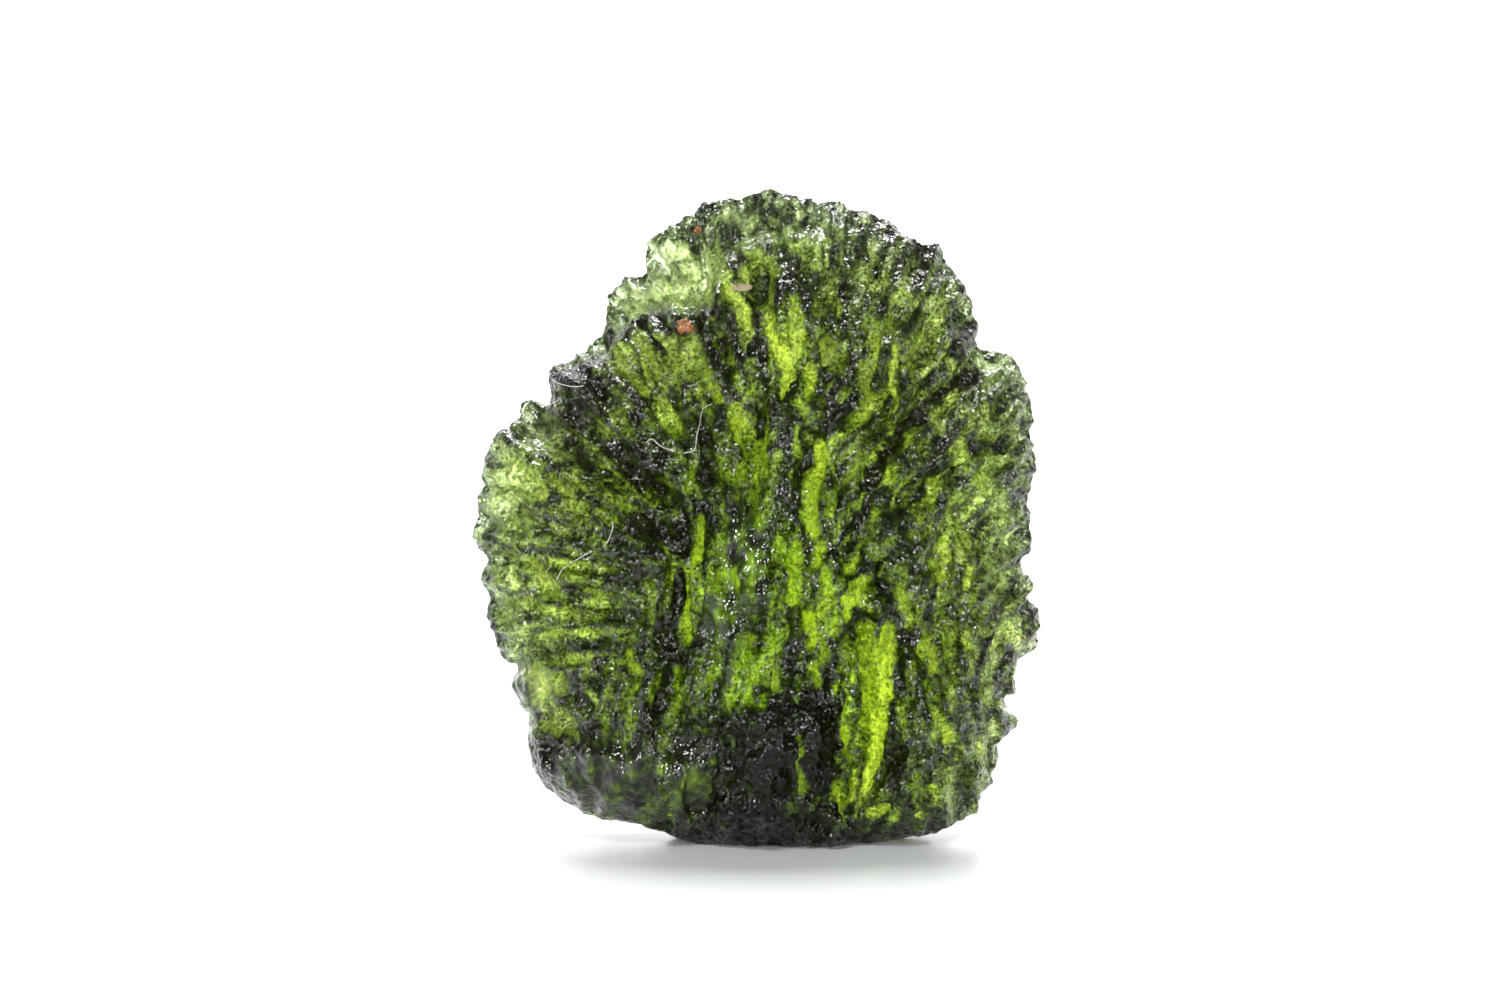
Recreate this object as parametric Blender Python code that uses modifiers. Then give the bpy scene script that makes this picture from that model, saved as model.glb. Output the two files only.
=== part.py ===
"""Moldavite: one natural piece of green glass, fan-shaped, standing on a small flat spot.

Seen from the front, along +Y, flutes and furrows fan out from the middle to a saw-toothed rim. The
piece is thick and blunt at its foot and thins towards the sides and the crown. It is one solid.
Lengths are in millimetres until the mesh is made, with x to the right, z up from the flat spot, and
y away from the viewer.
"""

import math

import bmesh
import bpy
import numpy as np
from mathutils import Vector, noise

MM = 0.001

# The middle of the two faces
FACE_CENTRE = (0.6, 10.4)

# The outline from the front, clockwise from the top, one list for each stretch of the rim
CROWN = [
    (-1.3, 23.6), (-0.8, 23.7), (-0.3, 23.9), (0.1, 24.0), (0.6, 24.0), (1.6, 23.7), (2.1, 23.8),
    (2.2, 23.5), (2.8, 23.6), (3.3, 23.6), (3.5, 23.2), (4.0, 23.2), (4.4, 23.0), (4.7, 23.0),
    (5.2, 22.7), (5.2, 22.4), (5.5, 22.2), (6.0, 22.3), (6.2, 22.1),
]
RIGHT_SHOULDER = [
    (6.6, 22.0), (6.9, 21.8), (6.8, 21.5), (7.0, 21.1), (7.3, 20.8), (7.7, 20.5), (8.1, 19.8),
    (8.0, 19.6), (8.2, 19.1), (8.1, 18.6), (8.1, 18.1),
]
RIGHT_LOBE = [
    (8.5, 18.0), (8.9, 18.0), (9.3, 17.8), (9.8, 17.5), (9.8, 17.0), (10.1, 16.4), (10.2, 15.8),
    (10.3, 14.9), (10.2, 14.5), (10.4, 14.2), (10.4, 13.6), (10.1, 13.3), (10.1, 12.5), (10.2, 11.6),
]
RIGHT_SAW_TEETH = [
    (10.2, 10.6), (9.9, 10.35), (9.75, 9.9), (10.35, 9.6), (10.1, 9.0), (10.4, 8.5), (10.5, 7.2),
    (9.9, 6.7), (9.6, 6.2), (9.65, 5.5), (9.0, 5.05), (9.5, 4.7), (9.7, 4.2), (9.3, 3.8), (9.0, 3.4),
]
RIGHT_FOOT = [
    (8.9, 2.4), (8.7, 1.8), (8.4, 1.4), (7.9, 0.9), (7.6, 0.6), (6.9, 0.3), (6.2, 0.1), (5.4, -0.05),
]
# This stretch reaches below z = 0, where the flat spot is cut
BELOW_FLAT_SPOT = [(4.7, -0.2), (4.1, -0.4), (3.0, -0.7), (1.6, -0.8), (0.1, -0.8), (-1.2, -0.6)]
LEFT_FOOT = [
    (-2.1, -0.4), (-2.6, -0.2), (-3.0, 0.0), (-3.9, 0.4), (-4.5, 0.6), (-5.3, 0.6), (-5.9, 0.7),
    (-6.6, 1.0), (-7.3, 1.4), (-7.8, 1.8), (-8.2, 2.4), (-8.4, 3.1), (-8.5, 3.7), (-8.5, 4.4),
]
LEFT_BULB = [(-8.2, 4.6), (-8.7, 4.65), (-8.9, 5.1), (-9.1, 5.7), (-8.9, 6.2), (-8.8, 6.5)]
LEFT_LOBE = [
    (-9.4, 6.6), (-9.7, 7.1), (-9.7, 7.6), (-9.9, 8.2), (-9.9, 8.7), (-10.1, 9.5), (-10.2, 10.0),
    (-9.9, 10.4), (-10.3, 10.8), (-10.5, 11.4), (-10.5, 11.9), (-10.2, 12.4), (-10.2, 13.0),
    (-10.1, 13.7), (-9.9, 14.4), (-9.6, 15.0), (-9.2, 15.2),
]
LEFT_NUB = [(-9.0, 15.6), (-8.8, 16.1), (-8.6, 16.2), (-8.3, 16.2), (-8.0, 16.0), (-7.7, 15.9)]
LEFT_BLOCK = [(-7.65, 16.4), (-7.65, 17.0), (-7.6, 17.4), (-7.2, 17.6), (-6.7, 17.8)]
BACK_SHELF = [
    (-6.6, 18.1), (-6.2, 18.4), (-5.8, 18.5), (-5.5, 18.9), (-5.6, 19.6), (-5.5, 20.1), (-5.3, 20.4),
    (-5.0, 20.7), (-4.6, 20.8), (-4.1, 20.8), (-4.1, 21.2), (-4.2, 21.6), (-4.1, 22.0), (-3.8, 22.2),
    (-3.5, 22.5), (-3.1, 22.7), (-2.8, 22.9), (-2.4, 23.0), (-2.2, 23.3), (-2.1, 23.5), (-1.7, 23.6),
]
OUTLINE = (
    CROWN + RIGHT_SHOULDER + RIGHT_LOBE + RIGHT_SAW_TEETH + RIGHT_FOOT + BELOW_FLAT_SPOT
    + LEFT_FOOT + LEFT_BULB + LEFT_LOBE + LEFT_NUB + LEFT_BLOCK + BACK_SHELF
)

# Depth: how far the two faces stand out from the rim, and where the front is fullest
FRONT_BULGE = 4.4
BACK_BULGE = 3.9
FULLEST = (1.2, 5.5)
FULLEST_REACH = 9.0
BULGE_AT_FAR_SIDE = 0.72

# How far back the rim lies, by direction from the faces' middle in degrees, counter-clockwise from +X
RIM_DIRECTION = [-180, -150, -120, -90, -60, -30, 0, 30, 45, 60, 90, 118, 128, 140, 148, 160, 180]
RIM_BACKWARD = [0.0, 0.5, 0.2, 0.0, 0.1, 0.6, 0.4, 0.8, 1.3, 0.9, 1.1, 2.0, 1.7, 0.2, 1.3, 0.5, 0.0]

# The front plate ends above the shelf at the upper left in a ledge. The shelf behind it lies deeper.
LEDGE = [
    (-8.6, 17.3), (-7.7, 17.3), (-6.7, 17.7), (-5.5, 17.8), (-5.3, 18.3), (-5.0, 19.0), (-4.1, 19.5),
    (-2.8, 19.7), (-1.9, 19.6), (-1.5, 20.4), (-1.3, 21.4), (-0.6, 22.0), (0.8, 22.3), (3.0, 22.4),
]
BEYOND_LEDGE = [(3.0, 27.0), (-8.6, 27.0)]
LEDGE_DROP = 1.5
LEDGE_WIDTH = 0.35
LEDGE_LIP = 0.7
LEDGE_LIP_WIDTH = 1.6

# Rounded swellings of the front: x, z, radius, height
FRONT_LUMPS = [
    (-6.5, 16.6, 1.1, 0.80),
    (-3.6, 18.0, 1.6, 0.30),
    (0.5, 19.5, 1.3, 0.35),
    (6.2, 19.2, 1.6, 0.45),
    (9.0, 15.6, 1.5, 0.35),
    (-8.3, 5.6, 0.9, 0.55),
    (-6.2, 3.0, 1.9, 0.55),
    (-3.4, 2.4, 1.5, 0.50),
    (0.4, 3.6, 2.2, 0.80),
    (6.4, 6.2, 1.0, 0.45),
    (6.6, 4.0, 1.8, 0.40),
    (-1.0, 9.4, 1.6, 0.50),
    (7.6, 8.4, 1.6, 0.35),
]
# Long furrows of the front: the line along the bottom, half width, depth
FRONT_FURROWS = [
    ([(-3.6, 13.1), (-2.9, 12.5), (-2.7, 11.5), (-2.8, 10.0), (-3.1, 7.1), (-3.3, 5.6)], 0.42, 0.75),
    ([(-1.9, 16.6), (-1.8, 14.8), (-1.9, 13.0), (-1.7, 11.2)], 0.34, 0.50),
    ([(4.5, 16.3), (3.2, 15.6), (2.2, 14.8), (1.8, 14.0), (1.6, 13.0), (1.3, 12.0)], 0.40, 0.70),
    ([(4.8, 13.0), (4.1, 12.5), (3.7, 12.0), (3.5, 11.0)], 0.32, 0.50),
    ([(2.6, 5.2), (2.7, 7.0), (3.0, 7.8), (3.6, 8.3), (4.3, 8.5), (5.1, 8.1)], 0.36, 0.60),
    ([(4.1, 10.4), (4.7, 9.5), (5.3, 8.6), (5.8, 7.3), (6.3, 6.3)], 0.34, 0.50),
    ([(9.2, 14.9), (7.4, 14.3), (6.3, 13.5), (5.2, 12.6)], 0.38, 0.60),
    ([(8.6, 18.2), (7.9, 17.2), (6.6, 16.5), (5.1, 15.2), (4.2, 13.9)], 0.42, 0.75),
    ([(0.1, 21.0), (0.0, 18.6), (0.3, 16.8), (0.0, 14.8)], 0.34, 0.55),
    ([(-8.6, 12.2), (-6.8, 11.6), (-5.4, 10.4)], 0.30, 0.40),
    ([(-7.2, 14.6), (-5.8, 13.9), (-4.7, 12.9)], 0.30, 0.45),
    ([(-8.8, 4.4), (-6.9, 4.5), (-5.2, 4.0)], 0.34, 0.60),
    ([(-1.4, 6.0), (-1.3, 3.6), (-1.6, 1.6)], 0.36, 0.55),
    ([(4.6, 20.6), (3.9, 18.6), (3.3, 16.9)], 0.34, 0.45),
]
# Smooth scoops that let the light through: the line along the bottom, half width, depth
FRONT_SCOOPS = [
    ([(4.5, 7.2), (4.5, 5.6), (4.2, 3.6), (3.6, 1.9)], 0.75, 0.85),
    ([(0.5, 19.2), (0.9, 17.6), (1.1, 16.2)], 0.36, 0.42),
    ([(1.5, 18.9), (1.4, 17.4)], 0.42, 0.36),
    ([(2.3, 14.4), (2.0, 12.4), (1.9, 11.0)], 0.30, 0.36),
    ([(-0.8, 20.0), (-0.5, 18.9)], 0.36, 0.32),
    ([(-2.1, 11.9), (-2.4, 9.6), (-2.5, 7.6)], 0.28, 0.34),
    ([(-4.9, 17.9), (-3.9, 16.4)], 0.34, 0.32),
    ([(-0.5, 16.2), (-0.4, 14.8)], 0.36, 0.34),
    ([(4.0, 17.8), (4.0, 15.8)], 0.30, 0.34),
]
# The back has swellings and furrows of the same kind
BACK_LUMPS = [
    (-4.5, 15.0, 2.2, 0.6),
    (4.2, 17.5, 2.4, 0.6),
    (5.8, 8.0, 2.0, 0.5),
    (-5.6, 6.2, 2.3, 0.6),
    (0.4, 11.2, 2.2, 0.6),
    (1.6, 3.6, 2.4, 0.7),
]
BACK_FURROWS = [
    ([(-1.8, 21.0), (-1.0, 17.6), (-1.3, 14.2)], 0.45, 0.7),
    ([(2.4, 20.8), (1.9, 17.0), (1.8, 14.0)], 0.40, 0.6),
    ([(7.8, 15.8), (5.2, 13.8), (3.2, 12.2)], 0.45, 0.7),
    ([(-8.4, 13.0), (-5.6, 11.8), (-3.0, 10.8)], 0.42, 0.6),
    ([(-7.6, 5.0), (-5.0, 7.6), (-2.2, 8.8)], 0.42, 0.6),
    ([(8.4, 6.2), (5.6, 7.0), (2.9, 8.8)], 0.40, 0.6),
    ([(-1.5, 3.0), (-0.9, 5.8), (-0.4, 8.2)], 0.42, 0.6),
]

# Which way the flutes run on the front: x, z, and degrees counter-clockwise from +X. They fan out
# over the upper part, lie nearly level at the left and hang straight down below the middle.
FLUTE_DIRECTIONS = [
    (-1.4, 22.2, 97), (3.4, 22.2, 80), (-4.0, 21.1, 118), (0.1, 20.0, 90), (4.9, 20.0, 74),
    (6.7, 19.2, 60), (-3.6, 18.9, 120), (2.7, 18.1, 88), (-2.1, 17.7, 104), (-4.7, 17.0, 125),
    (4.7, 17.0, 80), (0.8, 16.3, 88), (7.4, 15.9, 38), (3.4, 15.4, 42), (5.2, 15.2, 42),
    (-5.8, 14.4, 143), (8.9, 14.1, 25), (-8.4, 13.0, 152), (-2.5, 12.6, 105), (2.1, 12.6, 86),
    (-4.0, 12.2, 140), (4.0, 12.2, 62), (-5.1, 10.8, 160), (-8.0, 10.4, 167), (-0.8, 10.4, 76),
    (7.1, 10.4, 60), (-5.8, 8.9, 174), (-2.8, 8.9, 83), (8.9, 8.9, 48), (1.6, 8.2, 90),
    (-7.3, 7.1, 182), (6.5, 6.7, 100), (4.9, 6.0, 88), (-4.0, 5.3, 78), (-7.3, 5.3, 120),
    (7.8, 4.2, 98), (0.1, 3.8, 90), (4.1, 2.7, 70), (-5.8, 2.3, 95), (-2.1, 1.9, 85),
]
FLUTE_SPACING = 1.0
FLUTE_LENGTH = 3.4
FLUTE_HEIGHT = 0.40
# The flutes are drawn on a flat grid that covers the piece
GRID_PITCH = 0.12
GRID_LOW = (-13.0, -4.0)
GRID_HIGH = (13.0, 28.0)
# Irregular hollows of a few millimetres
WAVE_SIZE = 2.4
WAVE_HEIGHT = 0.30
# Dents across the flutes
DENT_SIZE = 1.1
DENT_HEIGHT = 0.22
# The rim wanders forward and back. Small teeth run along it, and hardly show on its left half
RIM_WAVE_SIZE = 2.2
RIM_WAVE_HEIGHT = 0.55
TOOTH_SIZE = 0.75
TOOTH_SHARE_LEFT = 0.004
TOOTH_SHARE_RIGHT = 0.015
TEETH_GROW = (1.0, 7.0)

# The working mesh, the pitch of the even mesh that is drawn over it, and how many facets are kept
MERIDIANS = 480
RINGS = 100
EVEN_MESH = 0.15
TRIANGLES = 9700
SHORTEST_EDGE = 0.03

GLASS_COLOUR = (0.16, 0.23, 0.04, 1.0)
GLASS_ROUGHNESS = 0.15
GLASS_IOR = 1.49


def clear_scene():
    for obj in list(bpy.data.objects):
        bpy.data.objects.remove(obj)


def smooth_step(value, low, high):
    t = np.clip((value - low) / (high - low), 0.0, 1.0)
    return t * t * (3.0 - 2.0 * t)


def distance_to_line(x, z, line):
    """Distance from each point to a chain of straight stretches."""
    nearest = np.full(x.shape, np.inf)
    for (x0, z0), (x1, z1) in zip(line, line[1:]):
        dx, dz = x1 - x0, z1 - z0
        share = np.clip(((x - x0) * dx + (z - z0) * dz) / (dx * dx + dz * dz), 0.0, 1.0)
        nearest = np.minimum(nearest, np.hypot(x - x0 - share * dx, z - z0 - share * dz))
    return nearest


def inside(x, z, corners):
    """True where a point lies in the polygon, by counting the sides that a ray crosses."""
    found = np.zeros(x.shape, bool)
    for (x0, z0), (x1, z1) in zip(corners, corners[1:] + corners[:1]):
        if z0 != z1:
            crosses = (z0 > z) != (z1 > z)
            found ^= crosses & (x < x0 + (z - z0) * (x1 - x0) / (z1 - z0))
    return found


def along_outline(share):
    """Points of the outline at these shares of its length, which start at its first point."""
    corners = np.array(OUTLINE + OUTLINE[:1])
    steps = np.hypot(*np.diff(corners, axis=0).T)
    reached = np.concatenate([[0.0], np.cumsum(steps)]) / steps.sum()
    return np.interp(share, reached, corners[:, 0]), np.interp(share, reached, corners[:, 1])


def lumps(x, z, places):
    """Round swellings, added up."""
    height = np.zeros(x.shape)
    for lump_x, lump_z, radius, rise in places:
        height += rise * np.exp(-((x - lump_x) ** 2 + (z - lump_z) ** 2) / radius**2)
    return height


def furrows(x, z, lines):
    """Depth of the deepest furrow at each point: steep sides and a rounded bottom."""
    depth = np.zeros(x.shape)
    for line, half_width, deepest in lines:
        away = distance_to_line(x, z, line) / half_width
        depth = np.maximum(depth, deepest * np.exp(-np.abs(away) ** 2.5))
    return depth


def ledge(x, z):
    """Depth of the shelf beyond the ledge, less the lip that stands along the front plate's edge."""
    away = distance_to_line(x, z, LEDGE)
    beyond = np.where(inside(x, z, LEDGE + BEYOND_LEDGE), away, -away)
    step = LEDGE_DROP * smooth_step(beyond, -LEDGE_WIDTH / 2, LEDGE_WIDTH / 2)
    lip = LEDGE_LIP * smooth_step(beyond, -LEDGE_LIP_WIDTH, 0.0)
    lip *= 1.0 - smooth_step(beyond, 0.0, LEDGE_WIDTH)
    return (step - lip) * (1.0 - smooth_step(x, 0.0, 3.0))


def grid_places():
    """The x and z of every point of the flat grid."""
    return np.meshgrid(
        np.arange(GRID_LOW[0], GRID_HIGH[0], GRID_PITCH), np.arange(GRID_LOW[1], GRID_HIGH[1], GRID_PITCH)
    )


def read_grid(grid, x, z):
    """The grid's values at these points, blended between its four nearest points."""
    column = np.clip((x - GRID_LOW[0]) / GRID_PITCH, 0.0, grid.shape[1] - 1.001)
    row = np.clip((z - GRID_LOW[1]) / GRID_PITCH, 0.0, grid.shape[0] - 1.001)
    j, i = column.astype(int), row.astype(int)
    u, v = column - j, row - i
    low = grid[i, j] * (1.0 - u) + grid[i, j + 1] * u
    high = grid[i + 1, j] * (1.0 - u) + grid[i + 1, j + 1] * u
    return low * (1.0 - v) + high * v


def flute_direction(x, z):
    """The direction of the flutes, as the cosine and sine of twice its angle."""
    cosine, sine = np.zeros(x.shape), np.zeros(x.shape)
    for place_x, place_z, degrees in FLUTE_DIRECTIONS:
        weight = ((x - place_x) ** 2 + (z - place_z) ** 2 + 0.3) ** -1.6
        cosine += weight * math.cos(math.radians(2.0 * degrees))
        sine += weight * math.sin(math.radians(2.0 * degrees))
    length = np.hypot(cosine, sine) + 1e-9
    return cosine / length, sine / length


def blurred(grid, reach):
    """The grid smoothed over this many of its steps."""
    rows, columns = np.meshgrid(*[np.fft.fftfreq(n) for n in grid.shape], indexing="ij")
    pass_low = np.exp(-2.0 * (math.pi * reach) ** 2 * (rows**2 + columns**2))
    return np.real(np.fft.ifft2(np.fft.fft2(grid) * pass_low))


def streaks(seed, spacing, length):
    """A grid of random heights, smeared along the flutes' direction."""
    x, z = grid_places()
    cosine, sine = flute_direction(x, z)
    spots = blurred(np.random.default_rng(seed).normal(size=x.shape), 0.3 * spacing / GRID_PITCH)
    total = spots.copy()
    steps = int(length / 2.0 / GRID_PITCH)
    for way in (1.0, -1.0):
        at_x, at_z = x.copy(), z.copy()
        heading = np.arctan2(sine, cosine) / 2.0
        last_x, last_z = way * np.cos(heading), way * np.sin(heading)
        for step in range(1, steps):
            heading = np.arctan2(read_grid(sine, at_x, at_z), read_grid(cosine, at_x, at_z)) / 2.0
            go_x, go_z = np.cos(heading), np.sin(heading)
            onward = np.where(go_x * last_x + go_z * last_z < 0.0, -1.0, 1.0)
            last_x, last_z = go_x * onward, go_z * onward
            at_x += last_x * GRID_PITCH
            at_z += last_z * GRID_PITCH
            total += read_grid(spots, at_x, at_z) * math.cos(0.5 * math.pi * step / steps)
    return total / total.std()


def flutes(x, z, seed):
    """Ridges with sharp crests between rounded grooves, about 0 on average."""
    return 0.8 - np.abs(read_grid(streaks(seed, FLUTE_SPACING, FLUTE_LENGTH), x, z))


def waves(x, z, size, seed):
    """Hollows and swellings without a direction, from about -1 to 1."""
    return np.array([noise.fractal(Vector((a, b, seed)), 1.0, 2.0, 2) for a, b in zip(x / size, z / size)])


def smooth_foot(x, z):
    """How much of the relief is left: little on the rounded foot at the lower left, all elsewhere."""
    return 1.0 - 0.6 * np.exp(-(((x + 5.0) / 3.4) ** 2 + ((z - 2.6) / 2.2) ** 2))


def relief(x, z, edge, seed, swellings, cuts, scoops):
    """How far a face stands above its plain bulge. edge is 0 at the face's middle and 1 at the rim."""
    at_rim = 1.0 - 0.75 * smooth_step(edge, 0.9, 1.0)
    height = FLUTE_HEIGHT * flutes(x, z, seed) + DENT_HEIGHT * waves(x, z, DENT_SIZE, seed + 5.0)
    scooped = furrows(x, z, scoops)
    height = height * smooth_foot(x, z) * (1.0 - np.minimum(scooped, 0.8))
    height += WAVE_HEIGHT * waves(x, z, WAVE_SIZE, seed)
    return (height + lumps(x, z, swellings) - furrows(x, z, cuts) - scooped) * at_rim


def bulge(x, z):
    """How full the piece is, 1 at its fullest place and less away from it."""
    away = np.hypot(x - FULLEST[0], z - FULLEST[1]) / FULLEST_REACH
    return BULGE_AT_FAR_SIDE + (1.0 - BULGE_AT_FAR_SIDE) * np.exp(-(away**2))


def section(edge, downward):
    """The face's height from rim to centre: a lens at the sides, blunt towards the foot."""
    lens = (1.0 - edge**2) ** 0.66
    blunt = (1.0 - edge**3) ** 0.50
    return lens + (blunt - lens) * downward


def shape_fan(bm):
    """Moves the sphere's points to the piece's surface. The sphere's poles are the middles of its faces."""
    places = np.array([v.co for v in bm.verts])
    turn = -np.arctan2(places[:, 1], places[:, 0]) / (2.0 * math.pi) % 1.0
    from_pole = np.arccos(np.clip(np.abs(places[:, 2]), 0.0, 1.0)) / (math.pi / 2.0)
    edge = 0.55 * from_pole + 0.45 * np.sin(from_pole * math.pi / 2.0)
    front = places[:, 2] > 0.0

    rim_x, rim_z = along_outline(turn)
    share = TOOTH_SHARE_LEFT + (TOOTH_SHARE_RIGHT - TOOTH_SHARE_LEFT) * smooth_step(rim_x, *TEETH_GROW)
    tooth = 1.0 + share * waves(rim_x, rim_z, TOOTH_SIZE, 31.0)
    rim_x = FACE_CENTRE[0] + (rim_x - FACE_CENTRE[0]) * tooth
    rim_z = FACE_CENTRE[1] + (rim_z - FACE_CENTRE[1]) * tooth
    x = FACE_CENTRE[0] + edge * (rim_x - FACE_CENTRE[0])
    z = FACE_CENTRE[1] + edge * (rim_z - FACE_CENTRE[1])
    direction = np.degrees(np.arctan2(rim_z - FACE_CENTRE[1], rim_x - FACE_CENTRE[0]))
    downward = smooth_step(-np.sin(np.radians(direction)), 0.35, 0.9)
    rim_y = np.interp(direction, RIM_DIRECTION, RIM_BACKWARD)
    rim_y = (rim_y + RIM_WAVE_HEIGHT * waves(rim_x, rim_z, RIM_WAVE_SIZE, 21.0)) * edge**2

    full = bulge(x, z) * section(edge, downward)
    y = np.empty(len(x))
    f, b = front, ~front
    front_relief = relief(x[f], z[f], edge[f], 3, FRONT_LUMPS, FRONT_FURROWS, FRONT_SCOOPS)
    drop = ledge(x[f], z[f]) * (1.0 - edge[f] ** 8)
    y[f] = rim_y[f] - FRONT_BULGE * full[f] - front_relief + drop
    back_relief = relief(x[b], z[b], edge[b], 11, BACK_LUMPS, BACK_FURROWS, [])
    y[b] = rim_y[b] + BACK_BULGE * full[b] + back_relief
    for vert, place in zip(bm.verts, zip(x * MM, y * MM, z * MM)):
        vert.co = place


def even_facets(bm):
    """Draws an even mesh over the surface, then keeps the facets that the shape needs most."""
    mesh = bpy.data.meshes.new("shaped")
    bm.to_mesh(mesh)
    shaped = bpy.data.objects.new("shaped", mesh)
    bpy.context.scene.collection.objects.link(shaped)
    even = shaped.modifiers.new("even_mesh", "REMESH")
    even.mode = "VOXEL"
    even.voxel_size = EVEN_MESH * MM
    made = count_triangles(shaped)
    fewer = shaped.modifiers.new("fewer_facets", "DECIMATE")
    fewer.ratio = TRIANGLES / made
    bm.clear()
    bm.from_mesh(evaluated(shaped))
    bpy.data.objects.remove(shaped)


def evaluated(obj):
    """The mesh that an object has after its modifiers."""
    bpy.context.view_layer.update()
    return bpy.data.meshes.new_from_object(obj.evaluated_get(bpy.context.evaluated_depsgraph_get()))


def count_triangles(obj):
    return sum(len(face.vertices) - 2 for face in evaluated(obj).polygons)


def cut_flat_spot(bm):
    """Cuts the foot off level at z = 0 and closes the cut with one flat face."""
    near = SHORTEST_EDGE * MM
    geometry = bm.verts[:] + bm.edges[:] + bm.faces[:]
    bmesh.ops.bisect_plane(
        bm, geom=geometry, dist=near, plane_co=(0, 0, 0), plane_no=(0, 0, -1), clear_outer=True
    )
    for vert in bm.verts:
        if vert.is_boundary:
            vert.co.z = 0.0
    bmesh.ops.remove_doubles(bm, verts=[vert for vert in bm.verts if vert.is_boundary], dist=near)
    bmesh.ops.contextual_create(bm, geom=[edge for edge in bm.edges if edge.is_boundary])


def move_middle_to_origin(bm):
    """Puts the middle of the box's bottom at the origin."""
    places = np.array([v.co for v in bm.verts])
    middle = (places.min(0) + places.max(0)) / 2.0
    bmesh.ops.translate(bm, verts=bm.verts, vec=(-middle[0], -middle[1], 0.0))


def glass_material():
    material = bpy.data.materials.new("green_glass")
    material.use_nodes = True
    shader = material.node_tree.nodes["Principled BSDF"]
    shader.inputs["Base Color"].default_value = GLASS_COLOUR
    shader.inputs["Roughness"].default_value = GLASS_ROUGHNESS
    shader.inputs["Metallic"].default_value = 0.0
    shader.inputs["IOR"].default_value = GLASS_IOR
    shader.inputs["Transmission Weight"].default_value = 1.0
    return material


def build_moldavite():
    bm = bmesh.new()
    bmesh.ops.create_uvsphere(bm, u_segments=MERIDIANS, v_segments=RINGS, radius=1.0)
    shape_fan(bm)
    even_facets(bm)
    cut_flat_spot(bm)
    move_middle_to_origin(bm)
    bmesh.ops.triangulate(bm, faces=bm.faces)
    mesh = bpy.data.meshes.new("moldavite")
    bm.to_mesh(mesh)
    bm.free()
    mesh.materials.append(glass_material())
    return bpy.data.objects.new("moldavite", mesh)


def main():
    clear_scene()
    collection = bpy.data.collections.new("moldavite")
    bpy.context.scene.collection.children.link(collection)
    collection.objects.link(build_moldavite())


main()
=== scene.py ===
"""A moldavite on a pale floor, lit from behind so that the light comes through it."""

import math

import bmesh
import bpy
import numpy as np
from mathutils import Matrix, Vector, noise
from mathutils.bvhtree import BVHTree


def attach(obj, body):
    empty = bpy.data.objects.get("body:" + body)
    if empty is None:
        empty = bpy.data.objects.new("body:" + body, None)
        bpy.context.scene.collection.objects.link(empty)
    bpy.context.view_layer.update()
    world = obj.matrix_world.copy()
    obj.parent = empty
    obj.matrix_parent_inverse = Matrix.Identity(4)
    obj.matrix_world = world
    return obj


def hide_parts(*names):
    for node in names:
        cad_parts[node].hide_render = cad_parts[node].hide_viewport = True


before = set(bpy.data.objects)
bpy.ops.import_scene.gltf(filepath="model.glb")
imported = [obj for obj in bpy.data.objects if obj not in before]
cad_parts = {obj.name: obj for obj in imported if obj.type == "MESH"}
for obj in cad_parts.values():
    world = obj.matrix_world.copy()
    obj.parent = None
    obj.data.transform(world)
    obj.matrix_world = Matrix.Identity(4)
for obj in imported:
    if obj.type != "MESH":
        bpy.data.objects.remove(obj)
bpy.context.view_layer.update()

# The stone: one piece of natural green glass, thrown out molten and then etched by the ground, which
# cut furrows and fine flutes into it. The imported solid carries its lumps, ledge and larger flutes.
# The finest flutes, the pits and the smooth windows are carved here into an even, closer mesh.
MM = 0.001
# Sizes are in millimetres, and the closer mesh has a point about every STONE_PITCH
STONE_PITCH = 0.136
# How high the flutes, lumps, grain and knobs stand, and how deep the pits and windows go
BROAD_FLUTE = 0.15
MIDDLE_FLUTE = 0.10
FINE_FLUTE = 0.05
LUMP = 0.11
GRAIN = 0.07
KNOB = 0.75
PIT = 0.22
WINDOW_DEPTH = 0.12
# Rounds of smoothing that take the solid's facets away, and how far each shrinks it and swells it back
FACET_ROUNDS = 5
FACET_SHRINK = 0.5
FACET_SWELL = 0.52
# Rounds of smoothing behind a window
WINDOW_ROUNDS = 40
# Places are x and z on the stone's middle plane, where they show as seen from here
VIEWPOINT = np.array((-0.28, -152.4, 25.9))
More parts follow.
